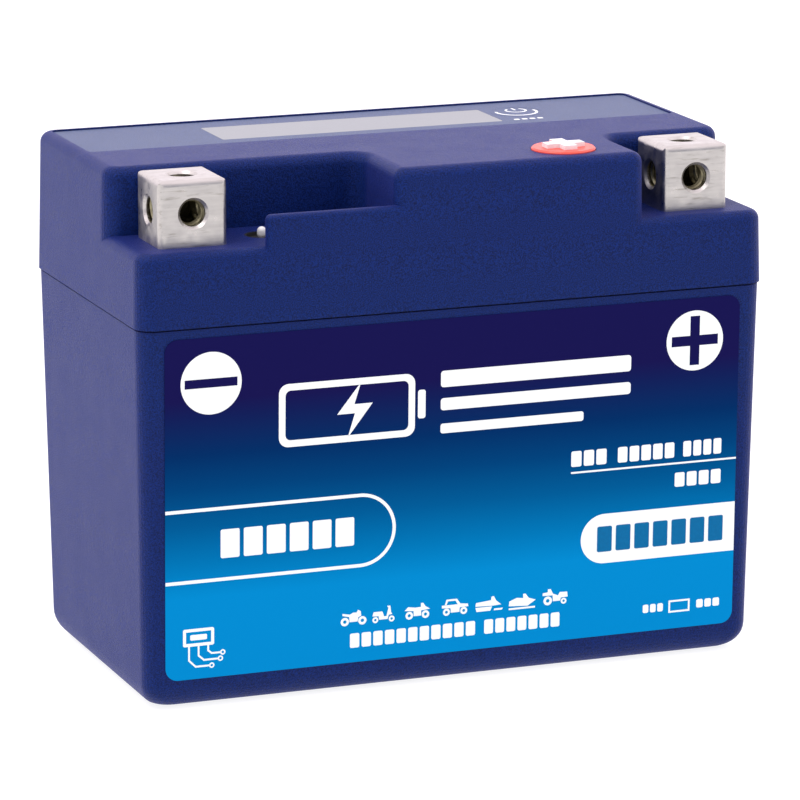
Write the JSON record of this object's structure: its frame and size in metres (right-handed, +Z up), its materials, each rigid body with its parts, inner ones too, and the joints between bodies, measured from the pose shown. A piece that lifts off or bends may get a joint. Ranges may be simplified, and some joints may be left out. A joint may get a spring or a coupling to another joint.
{
  "type": "motorcycle battery",
  "caption": "Small box-shaped lithium starter battery with two block terminals, a charge window with a test button, and pouch cells and electronics inside.",
  "frame": {"origin": "centre of the battery's base, on the surface it stands on", "axes": "+X to the right along the labelled front, +Y to the back, +Z up; the label and both terminals are at -Y"},
  "size_m": [0.107, 0.056, 0.0861],
  "materials": {
    "case_plastic": "satin moulded ABS, fine spark grain",
    "adhesive": "matt",
    "label_film": "printed film, semi-gloss",
    "overlay_film": "printed film, fine texture",
    "frosted_window": "frosted translucent polycarbonate",
    "black_plastic": "matt",
    "white_plastic": "satin",
    "red_plastic": "satin",
    "natural_nylon": "satin",
    "spring_steel": "polished",
    "zinc_steel": "bright zinc",
    "tinned_brass": "satin tin plate over brass",
    "brass": "machined",
    "copper": "copper, rolled",
    "aluminium_tab": "rolled",
    "seal_rubber": "matt",
    "wire_black": "silicone insulation",
    "wire_red": "silicone insulation",
    "circuit_board": "solder-masked glass epoxy",
    "glass_epoxy": "bare glass epoxy",
    "chip_black": "moulded epoxy",
    "ceramic": "ceramic and tin",
    "led_green": "clear epoxy",
    "pouch_film": "aluminium laminate film, satin",
    "foam": "open foam",
    "tape": "polyimide tape",
    "fish_paper": "fibre sheet"
  },
  "bodies": {
    "battery": {"case": "case_plastic", "lid": "case_plastic", "seam_adhesive": "adhesive", "front_label": "label_film", "top_overlay": "overlay_film", "display_window": "frosted_window", "switch_body": "black_plastic", "switch_dome": "spring_steel", "indicator_board": "circuit_board", "indicator_leds": "led_green", "light_baffle": "white_plastic", "indicator_screws": "zinc_steel", "indicator_ribbon": "natural_nylon", "ribbon_connectors": "natural_nylon", "terminal_negative": "tinned_brass", "terminal_positive": "tinned_brass", "terminal_seals": "seal_rubber", "lead_lugs": "zinc_steel", "terminal_washers": "zinc_steel", "terminal_nuts": "brass", "lead_negative": "wire_black", "lead_positive": "wire_red", "polarity_disc": "red_plastic", "polarity_plus": "white_plastic", "vent_seal": "seal_rubber", "vent_valve": "white_plastic", "bms_board": "circuit_board", "bms_mosfets": "chip_black", "bms_controller": "chip_black", "bms_shunts": "zinc_steel", "bms_passives": "ceramic", "balance_header": "natural_nylon", "balance_plug": "white_plastic", "balance_wires": "wire_red", "pack_busbars": "copper", "board_standoffs": "brass", "board_screws": "zinc_steel", "insulation_sheet": "fish_paper", "link_board": "glass_epoxy", "series_links": "copper", "tabs_positive": "aluminium_tab", "tabs_negative": "copper", "cell_1": "pouch_film", "cell_2": "pouch_film", "cell_3": "pouch_film", "cell_4": "pouch_film", "foam_pads": "foam", "pack_straps": "tape", "cell_tray": "black_plastic"},
    "button": {"test_button": "overlay_film", "switch_plunger": "black_plastic"}
  },
  "joints": [
    {"name": "test_button_press", "type": "slide", "parent": "battery", "child": "button", "axis": [0, 0, -1], "range_m": [0, 0.0003], "stiffness_N_per_m": 5300, "deforming": ["switch_dome"]}
  ]
}
